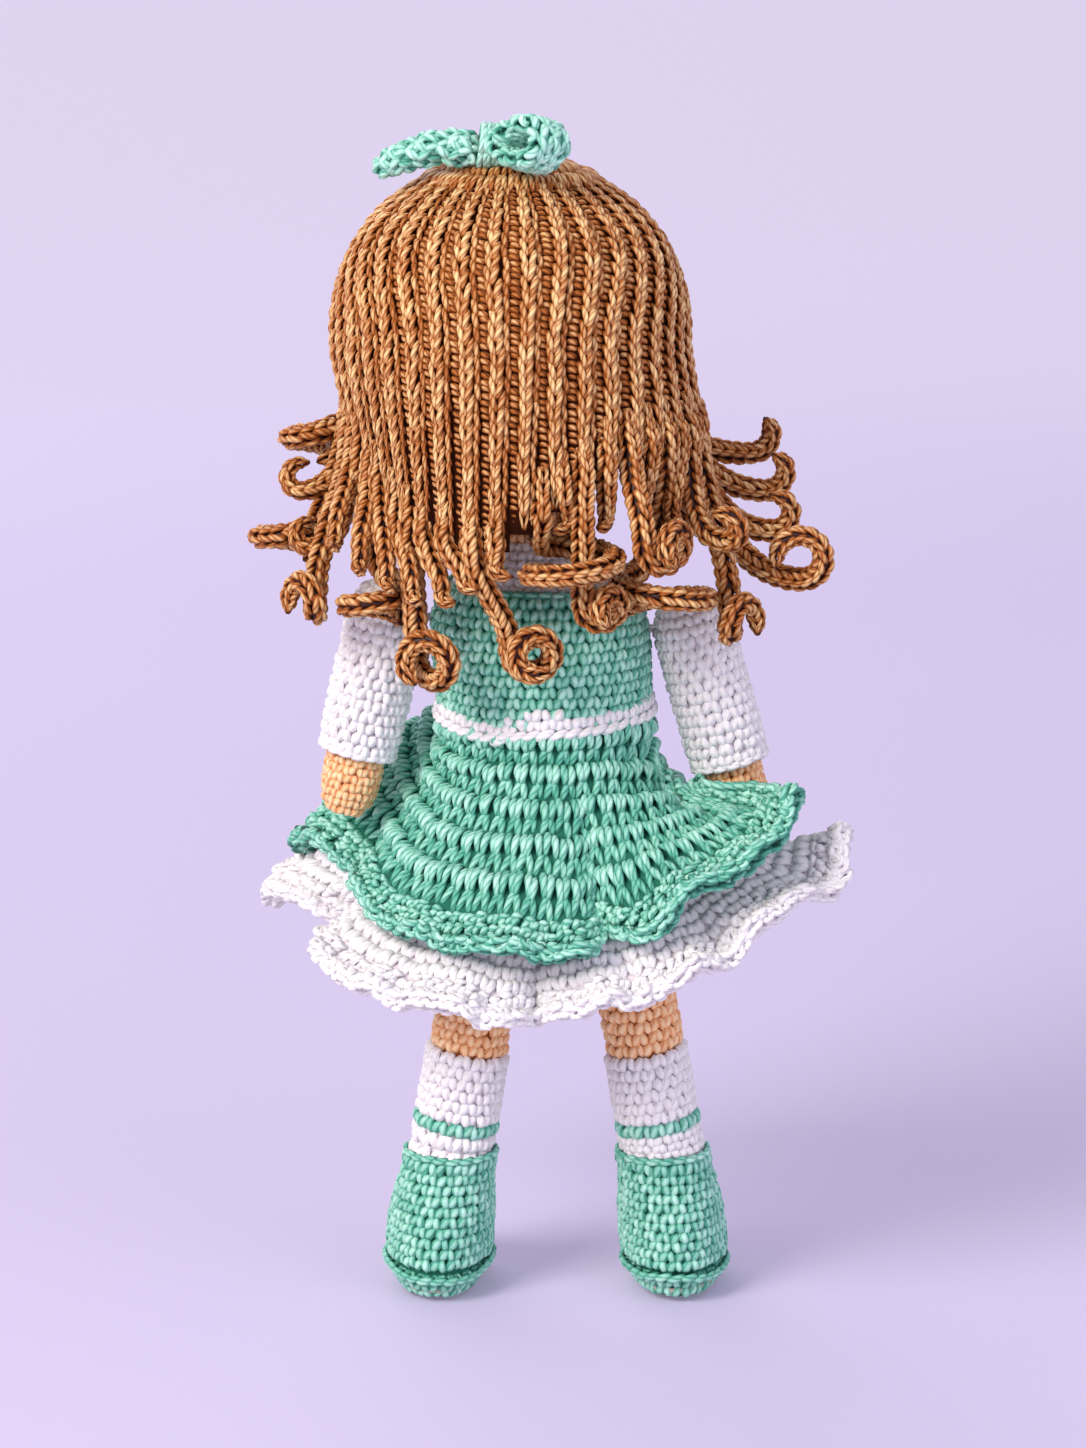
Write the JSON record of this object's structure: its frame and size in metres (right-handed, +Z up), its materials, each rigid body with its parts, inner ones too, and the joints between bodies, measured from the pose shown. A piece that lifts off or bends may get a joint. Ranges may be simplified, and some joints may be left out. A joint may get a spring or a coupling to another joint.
{
  "type": "crocheted doll",
  "caption": "Standing crocheted doll with a stitched wig of curls, a bow, sleeved arms, a belted dress over a petticoat, socks and shoes.",
  "frame": {"origin": "on the floor under the middle of the doll's bounding box", "axes": "+Z up, the face looks along -Y, +X is the doll's own left"},
  "size_m": [0.148, 0.123, 0.304],
  "materials": {
    "white_yarn": "matte cotton yarn, single crochet",
    "mint_yarn": "matte cotton yarn, single and double crochet",
    "skin_yarn": "matte cotton yarn, single crochet",
    "hair_yarn": "soft yarn with a slight sheen, slip-stitched strands",
    "stuffing": "polyester fibre filling",
    "wood": "plain dowel",
    "black_plastic": "polished",
    "white_plastic": "moulded",
    "pink_yarn": "matte embroidery thread"
  },
  "bodies": {
    "torso": {"body_cover": "white_yarn", "belt": "white_yarn", "petticoat": "white_yarn", "sock_left": "white_yarn", "sock_right": "white_yarn", "arm_stitch_left": "white_yarn", "arm_stitch_right": "white_yarn", "bodice": "mint_yarn", "skirt": "mint_yarn", "sole_left": "mint_yarn", "sole_right": "mint_yarn", "shoe_upper_left": "mint_yarn", "shoe_upper_right": "mint_yarn", "shoe_collar_left": "mint_yarn", "shoe_collar_right": "mint_yarn", "sock_stripe_left": "mint_yarn", "sock_stripe_right": "mint_yarn", "neck_cover": "skin_yarn", "leg_left": "skin_yarn", "leg_right": "skin_yarn", "body_stuffing": "stuffing", "leg_stuffing_left": "stuffing", "leg_stuffing_right": "stuffing", "neck_peg": "wood", "insole_left": "white_plastic", "insole_right": "white_plastic"},
    "arm_left": {"sleeve_left": "white_yarn", "hand_left": "skin_yarn", "arm_stuffing_left": "stuffing"},
    "arm_right": {"sleeve_right": "white_yarn", "hand_right": "skin_yarn", "arm_stuffing_right": "stuffing"},
    "head": {"head_cover": "skin_yarn", "head_stuffing": "stuffing", "nose": "skin_yarn", "mouth": "pink_yarn", "hair_cap": "hair_yarn", "curl_a": "hair_yarn", "curl_b": "hair_yarn", "curl_c": "hair_yarn", "curl_d": "hair_yarn", "curl_e": "hair_yarn", "curl_f": "hair_yarn", "curl_g": "hair_yarn", "curl_h": "hair_yarn", "curl_i": "hair_yarn", "curl_k": "hair_yarn", "curl_j": "hair_yarn", "curl_l": "hair_yarn", "curl_p": "hair_yarn", "curl_o": "hair_yarn", "curl_n": "hair_yarn", "curl_m": "hair_yarn", "bow_knot": "mint_yarn", "bow_loop_left": "mint_yarn", "bow_loop_right": "mint_yarn", "eye_left": "black_plastic", "eye_right": "black_plastic", "eye_washer_left": "white_plastic", "eye_washer_right": "white_plastic"}
  },
  "joints": [
    {"name": "arm_left_raise", "type": "hinge", "parent": "torso", "child": "arm_left", "pos_m": [0.04029, 0.00394, 0.176], "axis": [0, -1, 0], "range_deg": [0, 60]},
    {"name": "arm_right_raise", "type": "hinge", "parent": "torso", "child": "arm_right", "pos_m": [-0.03601, 0.00394, 0.173], "axis": [0, 1, 0], "range_deg": [0, 60]},
    {"name": "head_turn", "type": "hinge", "parent": "torso", "child": "head", "pos_m": [0.00449, 0.00394, 0.211], "axis": [0, 0, 1], "range_deg": [-8, 8], "stiffness_Nm_per_rad": 0.02}
  ]
}
